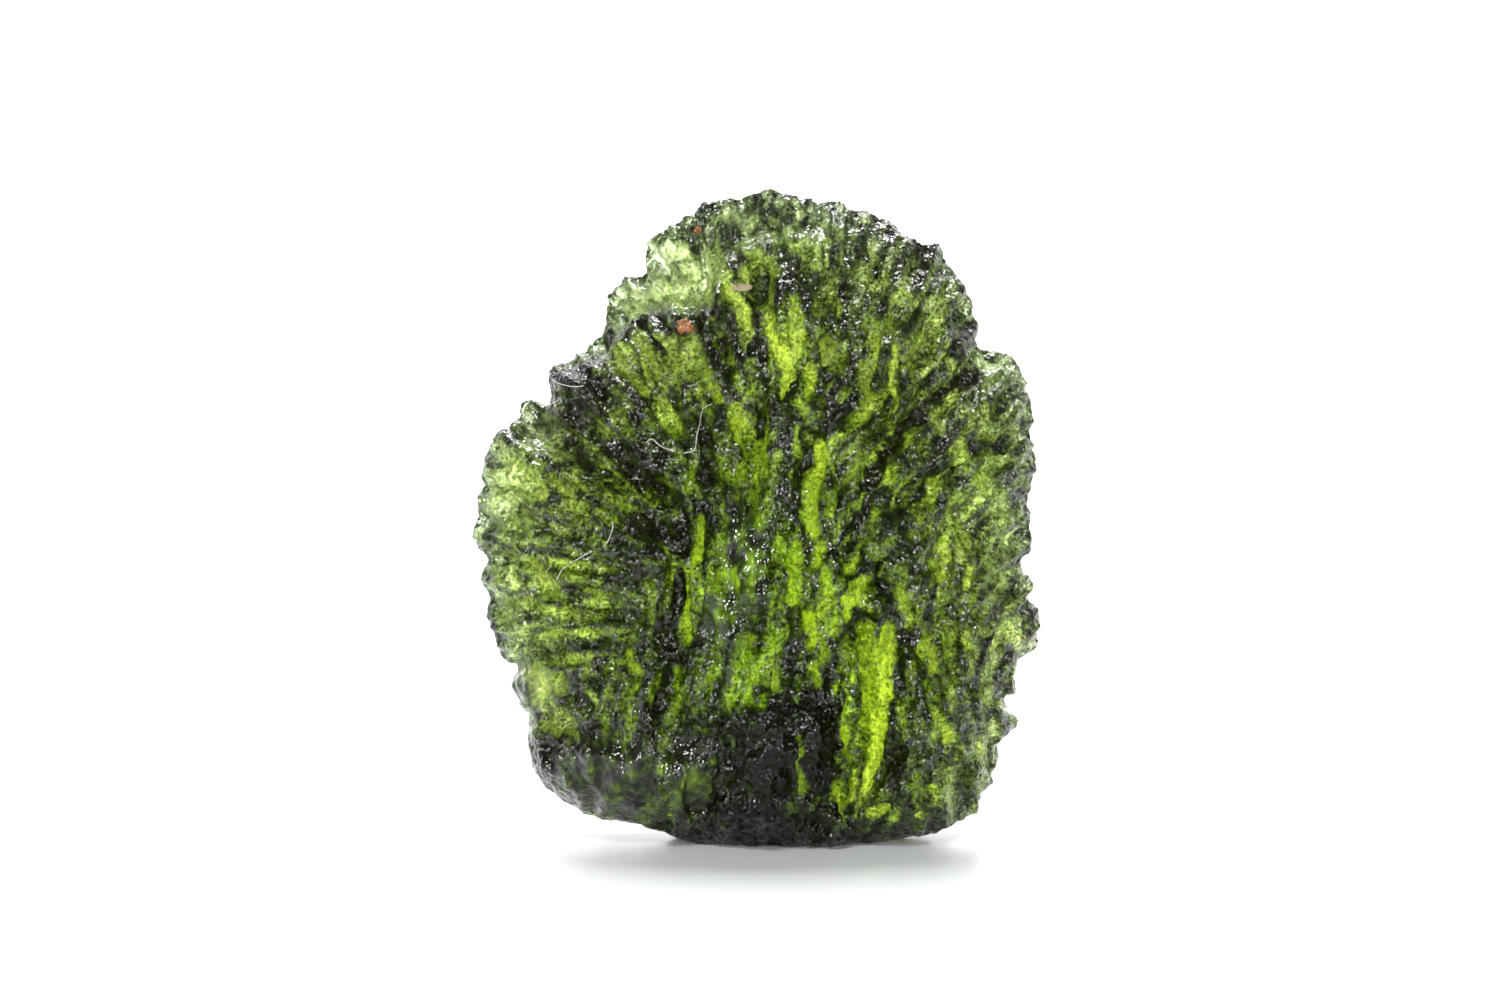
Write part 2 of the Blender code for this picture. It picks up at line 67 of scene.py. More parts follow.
# Which way the flutes run: x, z, degrees from level
FLUTE_DIRECTIONS = [
    (-1.4, 22.2, 97), (3.4, 22.2, 80), (-4.0, 21.1, 118), (0.1, 20.0, 90), (4.9, 20.0, 74),
    (6.7, 19.2, 60), (-3.6, 18.9, 120), (2.7, 18.1, 88), (-2.1, 17.7, 104), (-4.7, 17.0, 125),
    (4.7, 17.0, 80), (0.8, 16.3, 88), (7.4, 15.9, 38), (3.4, 15.4, 42), (5.2, 15.2, 42),
    (-5.8, 14.4, 143), (8.9, 14.1, 25), (-8.4, 13.0, 152), (-2.5, 12.6, 105), (2.1, 12.6, 86),
    (-4.0, 12.2, 140), (4.0, 12.2, 62), (-5.1, 10.8, 160), (-8.0, 10.4, 167), (-0.8, 10.4, 76),
    (7.1, 10.4, 60), (-5.8, 8.9, 174), (-2.8, 8.9, 83), (8.9, 8.9, 48), (1.6, 8.2, 90),
    (-7.3, 7.1, 182), (6.5, 6.7, 100), (4.9, 6.0, 88), (-4.0, 5.3, 78), (-7.3, 5.3, 120),
    (7.8, 4.2, 98), (0.1, 3.8, 90), (4.1, 2.7, 70), (-5.8, 2.3, 95), (-2.1, 1.9, 85),
]
# Clear windows in the front: smooth in the relief, with painted light in the skin's tint.
# How clear, then points along the window with its half width at each
WINDOWS = [
    (1.00, [(4.8, 7.8, 0.25), (4.75, 6.9, 0.36), (4.5, 6.0, 0.56), (4.4, 5.3, 0.53), (4.4, 4.5, 0.44),
            (4.4, 3.8, 0.33), (4.25, 3.05, 0.28), (4.1, 2.3, 0.2), (3.9, 1.75, 0.15)]),
    (0.62, [(4.05, 7.75, 0.33), (4.05, 6.9, 0.35), (4.1, 6.1, 0.25)]),
    (0.40, [(3.3, 7.4, 0.2), (3.4, 6.6, 0.2), (3.3, 5.6, 0.1)]),
    (0.90, [(3.85, 4.45, 0.15), (4.2, 3.8, 0.15)]),
    (1.00, [(3.2, 4.15, 0.15), (3.3, 3.4, 0.17), (3.45, 3.0, 0.12)]),
    (0.85, [(3.85, 3.5, 0.12), (4.1, 3.2, 0.12)]),
    (1.00, [(2.85, 1.95, 0.15), (3.1, 1.35, 0.14), (3.15, 0.8, 0.12)]),
    (1.00, [(3.5, 2.5, 0.18), (3.4, 1.75, 0.19), (3.2, 1.4, 0.15)]),
    (1.00, [(1.5, 3.8, 0.06), (1.6, 3.05, 0.09), (1.65, 2.3, 0.10), (1.7, 1.75, 0.17)]),
    (0.95, [(0.6, 7.3, 0.14), (0.65, 6.5, 0.14), (0.7, 5.6, 0.12)]),
    (0.70, [(1.4, 10.95, 0.15), (1.3, 10.2, 0.26), (1.4, 9.5, 0.3), (1.3, 8.9, 0.2)]),
    (1.00, [(1.8, 8.3, 0.18), (1.95, 7.8, 0.25), (1.95, 7.3, 0.18)]),
    (0.55, [(2.3, 7.5, 0.2), (2.5, 6.9, 0.24), (2.3, 6.5, 0.2)]),
    (0.80, [(2.0, 6.4, 0.17), (2.3, 5.8, 0.17)]),
    (1.00, [(2.3, 14.6, 0.15), (2.3, 13.9, 0.18), (2.05, 13.2, 0.22), (1.97, 12.4, 0.18),
            (1.97, 11.9, 0.22), (2.1, 11.3, 0.18)]),
    (0.80, [(2.3, 10.95, 0.15), (2.2, 10.2, 0.18)]),
    (0.80, [(2.5, 9.9, 0.2), (2.6, 9.3, 0.27), (2.6, 8.9, 0.2), (2.35, 8.3, 0.15)]),
    (0.80, [(2.9, 8.1, 0.18), (2.85, 7.65, 0.15)]),
    (0.85, [(3.85, 9.65, 0.15), (3.65, 9.2, 0.3), (3.75, 8.9, 0.26)]),
    (1.00, [(3.4, 8.9, 0.22), (3.3, 8.2, 0.18)]),
    (0.70, [(3.8, 10.8, 0.12), (3.4, 10.0, 0.12)]),
    (0.85, [(5.25, 9.5, 0.08), (5.3, 9.0, 0.14), (5.4, 8.5, 0.1)]),
    (1.00, [(6.15, 7.4, 0.17), (6.4, 6.8, 0.22), (6.45, 6.3, 0.16)]),
    (0.75, [(6.8, 10.8, 0.25), (6.95, 10.5, 0.2)]),
    (0.78, [(6.6, 10.2, 0.18), (6.8, 9.7, 0.2)]),
    (0.55, [(7.5, 11.5, 0.25), (7.5, 10.4, 0.22)]),
    (1.00, [(7.75, 10.0, 0.15), (7.75, 9.5, 0.15)]),
    (0.45, [(8.6, 10.8, 0.2), (8.6, 9.7, 0.2)]),
    (0.98, [(7.1, 4.2, 0.14), (7.1, 3.75, 0.25)]),
    (0.75, [(4.2, 1.0, 0.2), (4.6, 1.1, 0.2)]),
    (0.85, [(5.85, 1.05, 0.17), (5.9, 0.9, 0.15)]),
    (0.70, [(6.4, 1.95, 0.15), (6.45, 1.85, 0.15)]),
    (0.55, [(-0.35, 7.4, 0.25), (-0.3, 6.5, 0.25), (-0.35, 5.8, 0.2)]),
    (0.50, [(-0.25, 5.2, 0.16), (-0.15, 5.1, 0.16)]),
    (1.00, [(0.45, 19.3, 0.16), (0.65, 18.7, 0.27), (0.85, 18.05, 0.28), (1.05, 17.5, 0.27),
            (1.05, 16.8, 0.18), (0.9, 16.35, 0.1)]),
    (0.58, [(1.3, 20.0, 0.18), (1.45, 19.2, 0.3), (1.55, 18.7, 0.36), (1.45, 18.1, 0.3),
            (1.4, 17.6, 0.16)]),
    (0.90, [(1.9, 17.4, 0.22), (1.95, 16.8, 0.21), (1.85, 16.4, 0.15)]),
    (0.80, [(1.5, 16.2, 0.12), (1.75, 15.8, 0.15)]),
    (0.75, [(1.45, 15.2, 0.16), (1.45, 14.3, 0.15)]),
    (0.55, [(2.5, 18.3, 0.3), (2.5, 17.7, 0.25)]),
    (0.50, [(3.9, 17.6, 0.15), (4.0, 16.8, 0.16), (4.1, 16.1, 0.18), (4.0, 15.7, 0.1)]),
    (0.80, [(5.05, 18.3, 0.1), (4.95, 17.6, 0.15), (4.85, 16.8, 0.15), (5.0, 16.5, 0.1)]),
    (0.45, [(4.3, 19.0, 0.25), (4.3, 18.4, 0.3)]),
    (0.70, [(7.05, 17.7, 0.12), (7.1, 17.3, 0.12)]),
    (0.62, [(-0.3, 21.9, 0.25), (0.0, 21.5, 0.2)]),
    (0.75, [(0.4, 21.35, 0.2), (0.65, 20.9, 0.25)]),
    (0.80, [(1.35, 21.8, 0.25), (1.7, 21.7, 0.2)]),
    (0.70, [(-0.5, 21.0, 0.2), (-0.4, 20.7, 0.2)]),
    (0.90, [(-1.1, 20.5, 0.15), (-0.8, 20.0, 0.18), (-0.6, 19.6, 0.3), (-0.45, 19.0, 0.15)]),
    (0.50, [(-0.55, 18.5, 0.12), (-0.5, 18.2, 0.1)]),
    (0.75, [(-2.5, 20.2, 0.35), (-2.0, 20.1, 0.35)]),
    (0.62, [(-5.15, 18.1, 0.15), (-4.95, 17.6, 0.16), (-4.5, 17.0, 0.18), (-4.1, 16.5, 0.2)]),
    (0.45, [(-5.3, 16.7, 0.12), (-4.95, 16.3, 0.13), (-4.6, 16.0, 0.12)]),
    (0.62, [(-4.4, 18.5, 0.15), (-3.95, 17.8, 0.16), (-3.6, 17.2, 0.15)]),
    (0.56, [(-3.4, 18.5, 0.14), (-3.1, 17.9, 0.15), (-2.95, 17.4, 0.12)]),
    (0.80, [(-1.95, 17.6, 0.12), (-1.65, 16.8, 0.18), (-1.45, 16.3, 0.12)]),
    (0.45, [(-4.0, 15.5, 0.2), (-3.8, 15.2, 0.15)]),
    (0.75, [(-0.8, 16.0, 0.2), (-0.65, 15.4, 0.36), (-0.65, 14.8, 0.2)]),
    (0.55, [(0.0, 14.5, 0.22), (0.0, 13.6, 0.2)]),
    (0.50, [(-0.6, 13.9, 0.15), (-0.6, 13.3, 0.15)]),
    (0.40, [(-1.3, 14.1, 0.15), (-1.3, 13.6, 0.15)]),
    (0.50, [(-2.4, 13.9, 0.12), (-2.45, 13.0, 0.12)]),
    (0.75, [(-2.1, 11.9, 0.14), (-2.05, 11.1, 0.19), (-2.3, 10.4, 0.17), (-2.5, 9.9, 0.12)]),
    (0.90, [(-2.6, 8.8, 0.14), (-2.6, 8.0, 0.19), (-2.5, 7.4, 0.12)]),
    (0.95, [(-9.5, 14.5, 0.25), (-8.8, 13.8, 0.3), (-8.1, 13.1, 0.28), (-7.9, 12.8, 0.2)]),
    (0.85, [(-9.6, 13.4, 0.2), (-8.9, 13.1, 0.2), (-8.2, 12.7, 0.2)]),
    (0.95, [(-9.9, 12.9, 0.2), (-9.7, 12.4, 0.32)]),
    (1.00, [(-9.3, 12.25, 0.42), (-9.2, 11.8, 0.34)]),
    (0.60, [(-7.6, 13.4, 0.15), (-6.9, 12.8, 0.15)]),
    (1.00, [(-9.5, 8.6, 0.36), (-9.3, 8.4, 0.32)]),
    (0.60, [(-8.2, 10.1, 0.38), (-7.7, 9.4, 0.38)]),
    (0.58, [(-8.4, 8.8, 0.25), (-8.1, 8.6, 0.25)]),
    (0.30, [(-7.2, 8.4, 0.13), (-6.7, 8.5, 0.13)]),
    (0.88, [(-8.3, 6.3, 0.45), (-8.0, 5.6, 0.35), (-8.1, 5.2, 0.2)]),
    (0.60, [(-7.6, 5.9, 0.25), (-7.3, 5.6, 0.25)]),
    (0.70, [(-7.8, 4.25, 0.2), (-7.5, 4.2, 0.2)]),
    (0.60, [(-6.2, 6.8, 0.15), (-6.3, 6.2, 0.13)]),
    (0.70, [(-4.65, 6.9, 0.16), (-4.5, 6.3, 0.17)]),
    (0.60, [(-8.0, 7.4, 0.28), (-7.6, 7.4, 0.28)]),
    (1.00, [(7.4, 14.7, 0.22), (7.4, 14.2, 0.32)]),
    (1.00, [(8.5, 14.1, 0.28), (8.9, 14.2, 0.24)]),
    (0.75, [(8.3, 13.5, 0.3), (8.4, 13.0, 0.3)]),
    (0.55, [(6.6, 15.5, 0.2), (6.7, 15.2, 0.2)]),
    (0.60, [(6.4, 13.3, 0.2), (6.3, 12.6, 0.15)]),
    (0.55, [(3.85, 14.3, 0.12), (3.5, 13.6, 0.15), (3.2, 13.3, 0.15)]),
    (0.90, [(9.0, 12.8, 0.15), (9.0, 12.4, 0.2)]),
    (0.85, [(9.05, 9.9, 0.12), (9.0, 9.5, 0.2)]),
    (0.95, [(9.35, 7.9, 0.2), (9.45, 7.5, 0.25)]),
    (0.90, [(9.6, 7.4, 0.2), (9.7, 7.1, 0.15)]),
    (0.80, [(8.3, 3.4, 0.2), (8.4, 3.0, 0.22)]),
    (0.80, [(8.7, 4.3, 0.15), (8.75, 3.9, 0.18)]),
    (1.00, [(-4.95, 20.0, 0.2), (-4.9, 19.8, 0.2)]),
    (1.00, [(-4.35, 20.0, 0.21), (-4.3, 19.7, 0.19)]),
    (1.00, [(-4.45, 20.65, 0.13), (-3.95, 20.45, 0.16), (-3.6, 20.1, 0.14)]),
    (1.00, [(-5.35, 19.7, 0.22), (-5.2, 19.25, 0.2)]),
    (1.00, [(-3.5, 21.25, 0.16), (-3.5, 20.95, 0.14)]),
    (1.00, [(-4.0, 21.7, 0.19), (-3.95, 21.2, 0.19)]),
    (1.00, [(-5.95, 18.55, 0.16), (-5.9, 18.2, 0.12)]),
    (1.00, [(8.0, 18.05, 0.12), (8.15, 17.6, 0.15), (8.55, 17.4, 0.15), (8.85, 17.6, 0.12)]),
]
# Furrows with painted shade, darker in the skin's tint: how dark, the half width, and a line along each
PAINTED_SHADE_FURROWS = [
    (0.80, 0.20, [(-1.9, 14.8), (-1.8, 10.4)]),
    (0.95, 0.24, [(-3.6, 13.1), (-2.75, 12.5), (-2.8, 11.1), (-2.9, 10.0), (-3.0, 8.2), (-3.3, 6.2)]),
    (0.80, 0.22, [(-3.3, 6.2), (-3.55, 5.0), (-3.9, 3.9)]),
    (0.95, 0.26, [(3.4, 16.4), (3.0, 15.6), (1.7, 15.0), (1.55, 14.0), (1.6, 13.1), (1.3, 12.1)]),
    (0.80, 0.16, [(1.3, 16.8), (1.15, 15.5), (1.3, 14.8)]),
    (0.90, 0.20, [(4.7, 12.9), (4.1, 12.5), (3.4, 11.6), (2.8, 10.6)]),
    (1.00, 0.22, [(2.65, 3.0), (2.6, 5.3), (2.75, 6.7), (3.0, 7.9), (3.5, 8.35), (4.4, 8.2), (5.05, 7.6),
                  (5.2, 6.0), (4.95, 4.5), (4.75, 3.2)]),
    (0.90, 0.24, [(3.9, 10.6), (4.7, 9.0), (5.4, 7.6), (6.1, 6.3)]),
    (0.80, 0.24, [(8.9, 14.9), (6.7, 13.9), (5.6, 12.9)]),
    (0.85, 0.26, [(8.5, 17.6), (6.9, 16.6), (5.4, 15.2), (4.4, 13.7), (3.6, 12.9)]),
    (0.85, 0.24, [(0.1, 21.0), (-0.05, 19.4), (0.1, 17.8)]),
    (0.70, 0.20, [(0.7, 15.6), (0.9, 14.2), (1.1, 12.6)]),
    (0.70, 0.20, [(-5.6, 15.6), (-4.4, 14.0), (-3.4, 13.0)]),
    (0.85, 0.20, [(-4.9, 17.0), (-4.6, 16.5), (-4.0, 15.6)]),
    (0.85, 0.24, [(2.4, 18.6), (2.4, 17.0), (2.9, 16.0)]),
    (0.75, 0.24, [(3.2, 19.8), (3.3, 18.4), (3.4, 16.6)]),
    (0.80, 0.18, [(-1.3, 4.2), (-1.4, 2.6), (-1.7, 1.2)]),
    (0.90, 0.30, [(-7.9, 16.8), (-6.3, 17.3), (-5.6, 17.9), (-5.1, 18.6), (-4.1, 19.15), (-3.2, 19.35),
                  (-2.0, 19.3), (-1.6, 20.3)]),
    (0.85, 0.16, [(-5.7, 16.6), (-5.3, 15.9)]),
    (0.70, 0.16, [(-8.9, 13.5), (-7.9, 12.3)]),
    (0.60, 0.16, [(-9.7, 13.6), (-9.3, 12.6), (-8.6, 12.4)]),
    (0.70, 0.18, [(-4.5, 10.9), (-3.6, 10.6), (-3.0, 10.6)]),
    (0.75, 0.20, [(-6.6, 4.1), (-5.9, 4.15)]),
    (0.85, 0.22, [(-4.8, 3.5), (-4.3, 4.0), (-4.1, 5.0)]),
    (0.65, 0.18, [(-5.4, 6.8), (-6.6, 6.3), (-7.3, 5.2)]),
]
# Places with painted shade, where the skin's tint lets hardly any light through: x, z, reach across,
# reach up, darkness
PAINTED_SHADE_PLACES = [
    (0.3, 2.8, 1.6, 2.3, 1.0),
    (1.7, 3.4, 1.0, 2.4, 1.0),
    (-0.6, 3.8, 0.4, 0.7, 1.0),
    (-0.4, 1.0, 1.2, 0.8, 1.0),
    (2.6, 3.9, 0.7, 2.6, 1.0),
    (5.1, 3.2, 0.45, 1.5, 0.95),
    (-6.6, 16.6, 1.1, 0.9, 0.85),
    (-5.7, 16.0, 0.8, 0.9, 0.8),
    (-1.0, 17.8, 0.9, 0.9, 0.75),
    (-2.2, 15.4, 0.7, 1.2, 0.55),
    (1.5, 20.9, 1.1, 1.0, 0.7),
    (2.2, 19.7, 0.7, 1.4, 0.75),
    (-0.6, 21.2, 0.8, 0.5, 0.55),
    (-3.2, 18.9, 1.5, 0.35, 0.9),
    (-3.6, 11.2, 1.2, 1.2, 0.6),
    (-4.8, 13.9, 1.6, 0.8, 0.5),
    (7.6, 19.0, 0.7, 1.4, 0.6),
    (0.5, 0.4, 3.6, 0.7, 0.85),
]
# Places with a smooth skin and a grey sheen: x, z, reach across, reach up, strength
SHEEN_PLACES = [
    (-0.5, 10.6, 0.9, 2.2, 1.0),
    (-1.3, 8.3, 0.8, 1.4, 0.8),
    (-2.6, 2.4, 1.2, 1.5, 0.8),
    (-5.6, 2.4, 2.2, 1.7, 0.85),
    (-8.2, 15.4, 0.8, 0.8, 0.6),
    (-8.4, 5.8, 0.8, 0.9, 0.9),
    (0.7, 2.4, 1.9, 2.0, 0.40),
]
# How clear the glass is over wide stretches of the front: x, z, reach, clearness
WIDE_CLEARNESS = [
    (-9.6, 12.4, 2.0, 0.90), (-9.2, 9.0, 2.0, 0.80), (-7.6, 10.6, 1.6, 0.60), (-6.0, 12.6, 1.6, 0.42),
    (-5.0, 10.0, 2.0, 0.38), (-4.0, 8.0, 2.0, 0.36), (-7.4, 7.2, 1.6, 0.65), (-8.2, 5.6, 1.2, 0.70),
    (-5.4, 2.4, 2.2, 0.10), (-2.6, 3.0, 1.6, 0.08), (-1.6, 6.6, 1.6, 0.42), (0.2, 8.2, 1.6, 0.45),
    (-1.2, 10.8, 1.8, 0.56), (-1.0, 13.6, 1.6, 0.42), (2.2, 11.6, 1.4, 0.60), (3.4, 8.4, 1.2, 0.50),
    (6.4, 4.6, 1.4, 0.55), (8.0, 5.0, 1.6, 0.66), (7.2, 8.2, 1.8, 0.50), (8.8, 9.4, 1.4, 0.72),
    (5.4, 11.6, 1.8, 0.40), (7.8, 12.4, 1.5, 0.76), (9.4, 14.4, 1.4, 0.72), (6.2, 15.6, 1.6, 0.52),
    (4.6, 17.6, 1.6, 0.58), (6.8, 19.6, 1.6, 0.66), (4.4, 21.2, 1.6, 0.68), (1.2, 22.8, 1.4, 0.78),
    (0.8, 18.2, 1.6, 0.60), (-1.0, 19.4, 1.2, 0.60), (-3.8, 21.2, 1.6, 1.00), (-5.6, 19.6, 1.4, 1.00),
    (-2.6, 20.5, 0.8, 0.90), (-3.8, 17.0, 1.6, 0.50), (-6.4, 16.4, 1.0, 0.20), (-8.6, 15.2, 1.2, 0.65),
    (-1.8, 22.6, 1.0, 0.80), (-6.6, 18.2, 0.7, 1.00), (8.5, 17.6, 0.5, 1.00),
]
# Knobs stand out at the bottom, where the stone has painted shade. The foot on the left lies smooth, and
# so does
# the small nub at the left edge: x, z, reach across, reach up
KNOBBY_PLACE = (1.2, 2.2, 3.4, 2.4)
SMOOTH_FOOT = (-5.4, 2.2, 2.8, 1.9)
SMOOTH_NUB = (-8.4, 5.8, 0.9, 1.0)
# The flutes are worked out on a flat grid over the stone and read from there
GRID_PITCH = 0.06
GRID_LOW = (-12.5, -2.0)
GRID_HIGH = (12.5, 26.0)
# What the skin lets through, from clearness 0 in the darkest furrow to 1 in a clean window.
# Through it come the painted shade of the dark furrows and places and the painted light of the windows
SKIN_COLOURS = (
    (0.0, (0.0001, 0.0001, 0.0001, 1.0)),
    (0.05, (0.0004, 0.0005, 0.0003, 1.0)),
    (0.15, (0.010, 0.0125, 0.006, 1.0)),
    (0.5, (0.207, 0.252, 0.10, 1.0)),
    (1.0, (0.96, 1.0, 0.86, 1.0)),
)


def smooth_step(value, low, high):
    t = np.clip((value - low) / (high - low), 0.0, 1.0)
    return t * t * (3.0 - 2.0 * t)


def widths_away(x, z, line):
    """How far each place is from a line, in the line's own half widths there."""
    nearest = np.full(x.shape, np.inf)
    for (x0, z0, half0), (x1, z1, half1) in zip(line, line[1:]):
        dx, dz = x1 - x0, z1 - z0
        share = np.clip(((x - x0) * dx + (z - z0) * dz) / (dx * dx + dz * dz), 0.0, 1.0)
        away = np.hypot(x - x0 - share * dx, z - z0 - share * dz)
        nearest = np.minimum(nearest, away / (half0 + share * (half1 - half0)))
    return nearest


def as_seen(places):
    """Where each place shows on the middle plane, seen from the viewpoint."""
    share = -VIEWPOINT[1] / (places[:, 1] - VIEWPOINT[1])
    seen = VIEWPOINT + (places - VIEWPOINT) * share[:, None]
    return seen[:, 0], seen[:, 2]


def grid_places():
    across, up = (np.arange(low, high, GRID_PITCH) for low, high in zip(GRID_LOW, GRID_HIGH))
    return np.meshgrid(across, up)


def read_grid(grid, x, z):
    """The value of a grid at each place, drawn evenly between the four points round it."""
    column = np.clip((x - GRID_LOW[0]) / GRID_PITCH, 0.0, grid.shape[1] - 1.001)
    row = np.clip((z - GRID_LOW[1]) / GRID_PITCH, 0.0, grid.shape[0] - 1.001)
    j, i = column.astype(int), row.astype(int)
    u, v = column - j, row - i
    low = grid[i, j] * (1.0 - u) + grid[i, j + 1] * u
    high = grid[i + 1, j] * (1.0 - u) + grid[i + 1, j + 1] * u
    return low * (1.0 - v) + high * v


def flute_direction(x, z):
    """The cosine and sine of twice the angle of the flutes, the same whichever way a flute is read."""
    cosine, sine = np.zeros(x.shape), np.zeros(x.shape)
    for place_x, place_z, degrees in FLUTE_DIRECTIONS:
        weight = ((x - place_x) ** 2 + (z - place_z) ** 2 + 0.3) ** -1.6
        cosine += weight * math.cos(math.radians(2.0 * degrees))
        sine += weight * math.sin(math.radians(2.0 * degrees))
    length = np.hypot(cosine, sine) + 1e-9
    return cosine / length, sine / length


def blurred(grid, reach):
    """A grid blurred over the given reach, in steps of the grid."""
    rows, columns = np.meshgrid(*[np.fft.fftfreq(n) for n in grid.shape], indexing="ij")
    pass_low = np.exp(-2.0 * (math.pi * reach) ** 2 * (rows**2 + columns**2))
    return np.real(np.fft.ifft2(np.fft.fft2(grid) * pass_low))


def streaks(seed, spacing, length):
    """A grid of random heights, smeared along the flutes."""
    x, z = grid_places()
    cosine, sine = flute_direction(x, z)
    spots = blurred(np.random.default_rng(seed).normal(size=x.shape), 0.3 * spacing / GRID_PITCH)
    total = spots.copy()
    steps = max(2, int(length / 2.0 / GRID_PITCH))
    for way in (1.0, -1.0):
        at_x, at_z = x.copy(), z.copy()
        heading = np.arctan2(sine, cosine) / 2.0
        last_x, last_z = way * np.cos(heading), way * np.sin(heading)
        for step in range(1, steps):
            heading = np.arctan2(read_grid(sine, at_x, at_z), read_grid(cosine, at_x, at_z)) / 2.0
            go_x, go_z = np.cos(heading), np.sin(heading)
            onward = np.where(go_x * last_x + go_z * last_z < 0.0, -1.0, 1.0)
            last_x, last_z = go_x * onward, go_z * onward
            at_x += last_x * GRID_PITCH
            at_z += last_z * GRID_PITCH
            total += read_grid(spots, at_x, at_z) * math.cos(0.5 * math.pi * step / steps)
    return total / total.std()


def speckle(places, size, seed, octaves=2):
    """Random heights in spots of about the given size."""
    offset = Vector((seed * 3.1, seed * 1.7, seed * 2.3))
    return np.array([noise.fractal(Vector(p) + offset, 1.0, 2.0, octaves) for p in places / size])


def oval_away(x, z, place_x, place_z, across, up):
    """How far each place is from the middle of an oval, in the oval's own reach."""
    return np.hypot((x - place_x) / across, (z - place_z) / up)


def swelling(x, z, place_x, place_z, across, up):
    """1 in the middle of an oval, fading away round it without an edge."""
    return np.exp(-(((x - place_x) / across) ** 2 + ((z - place_z) / up) ** 2))


def fading(strength, away, inner, outer):
    """The whole strength as far out as inner, and nothing from outer on."""
    return strength * (1.0 - smooth_step(away, inner, outer))


def placed(name, data):
    """A new object in the scene."""
    obj = bpy.data.objects.new(name, data)
    bpy.context.scene.collection.objects.link(obj)
    return obj


def mesh_from(bm, name):
    mesh = bpy.data.meshes.new(name)
    bm.to_mesh(mesh)
    bm.free()
    return mesh


def turned_to_mesh(obj):
    """The shape of an object as a plain mesh, with the object itself taken away."""
    bpy.context.view_layer.update()
    mesh = bpy.data.meshes.new_from_object(obj.evaluated_get(bpy.context.evaluated_depsgraph_get()))
    bpy.data.objects.remove(obj)
    return mesh


def closer_mesh(node):
    """The solid's surface as an even, closer mesh."""
    bm = bmesh.new()
    bm.from_mesh(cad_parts[node].data)
    bmesh.ops.remove_doubles(bm, verts=bm.verts, dist=1e-6)
    obj = placed("closer", mesh_from(bm, node))
    remesh = obj.modifiers.new("closer", "REMESH")
    remesh.mode = "VOXEL"
    remesh.voxel_size = STONE_PITCH * MM
    return turned_to_mesh(obj)


def mesh_places(mesh):
    places = np.empty(len(mesh.vertices) * 3)
    mesh.vertices.foreach_get("co", places)
    return places.reshape(-1, 3) / MM


def set_places(mesh, places):
    mesh.vertices.foreach_set("co", (places * MM).ravel())
    mesh.update()


def mesh_normals(mesh):
    normals = np.empty(len(mesh.vertices) * 3)
    mesh.vertices.foreach_get("normal", normals)
    return normals.reshape(-1, 3)


def neighbours_mean(values, edges, counts):
    total = np.zeros_like(values)
    np.add.at(total, edges[:, 0], values[edges[:, 1]])
    np.add.at(total, edges[:, 1], values[edges[:, 0]])
    return total / counts[:, None]


def smooth_shaded(mesh):
    for polygon in mesh.polygons:
        polygon.use_smooth = True


stone_mesh = closer_mesh("moldavite")
edges = np.empty(len(stone_mesh.edges) * 2, int)
stone_mesh.edges.foreach_get("vertices", edges)
edges = edges.reshape(-1, 2)
counts = np.bincount(edges.ravel(), minlength=len(stone_mesh.vertices)).astype(float)
places = mesh_places(stone_mesh)
# Each round smooths the facets and then swells the stone back to about the size that it had
for _ in range(FACET_ROUNDS):
    places += FACET_SHRINK * (neighbours_mean(places, edges, counts) - places)
    places -= FACET_SWELL * (neighbours_mean(places, edges, counts) - places)
set_places(stone_mesh, places)
normals = mesh_normals(stone_mesh)
x, z = as_seen(places)

# How much each point belongs to the front, the back and the rim between them
front = smooth_step(-normals[:, 1], 0.1, 0.55)
back = smooth_step(normals[:, 1], 0.1, 0.55)
rim = 1.0 - front - back

# Random heights: three sizes of flutes, and spots of several sizes for all that isn't a flute
broad = read_grid(streaks(seed=41, spacing=0.72, length=3.2), x, z)
middle = read_grid(streaks(seed=42, spacing=0.40, length=2.2), x, z)
fine = read_grid(streaks(seed=43, spacing=0.22, length=1.2), x, z)
wobble = speckle(places, size=0.5, seed=1)
lumpy = speckle(places, size=0.7, seed=2)
grain = speckle(places, size=0.26, seed=3)
pits = speckle(places, size=0.9, seed=4, octaves=1)
knobs = speckle(places, size=0.85, seed=7)
ragged = 0.40 * wobble + 0.45 * grain + 0.12 * fine

# How much each point belongs to a window, with its painted light, or to a place of painted shade, with
# ragged edges
window = np.zeros(len(x))
for clearness, line in WINDOWS:
    away = widths_away(x, z, line) + ragged
    window = np.maximum(window, fading(clearness, away, 0.65, 1.35))
dark = np.zeros(len(x))
for darkness, half_width, line in PAINTED_SHADE_FURROWS:
    away = widths_away(x, z, [(*point, half_width) for point in line]) + ragged
    dark = np.maximum(dark, fading(darkness, away, 0.6, 1.4))
for *oval, darkness in PAINTED_SHADE_PLACES:
    away = oval_away(x, z, *oval) + 0.7 * ragged + 0.15 * middle
    dark = np.maximum(dark, fading(darkness, away, 0.6, 1.3))
dark *= (1.0 - window) * (1.0 - 0.25 * smooth_step(lumpy, 0.05, 0.45))
# How clear the glass is round each point, drawn from the wide stretches near it
wide = np.zeros(len(x))
total = np.full(len(x), 1e-6)
for place_x, place_z, reach, clearness in WIDE_CLEARNESS:
    weight = np.exp(-((x - place_x) ** 2 + (z - place_z) ** 2) / reach**2)
    wide += weight * clearness
    total += weight
wide /= total

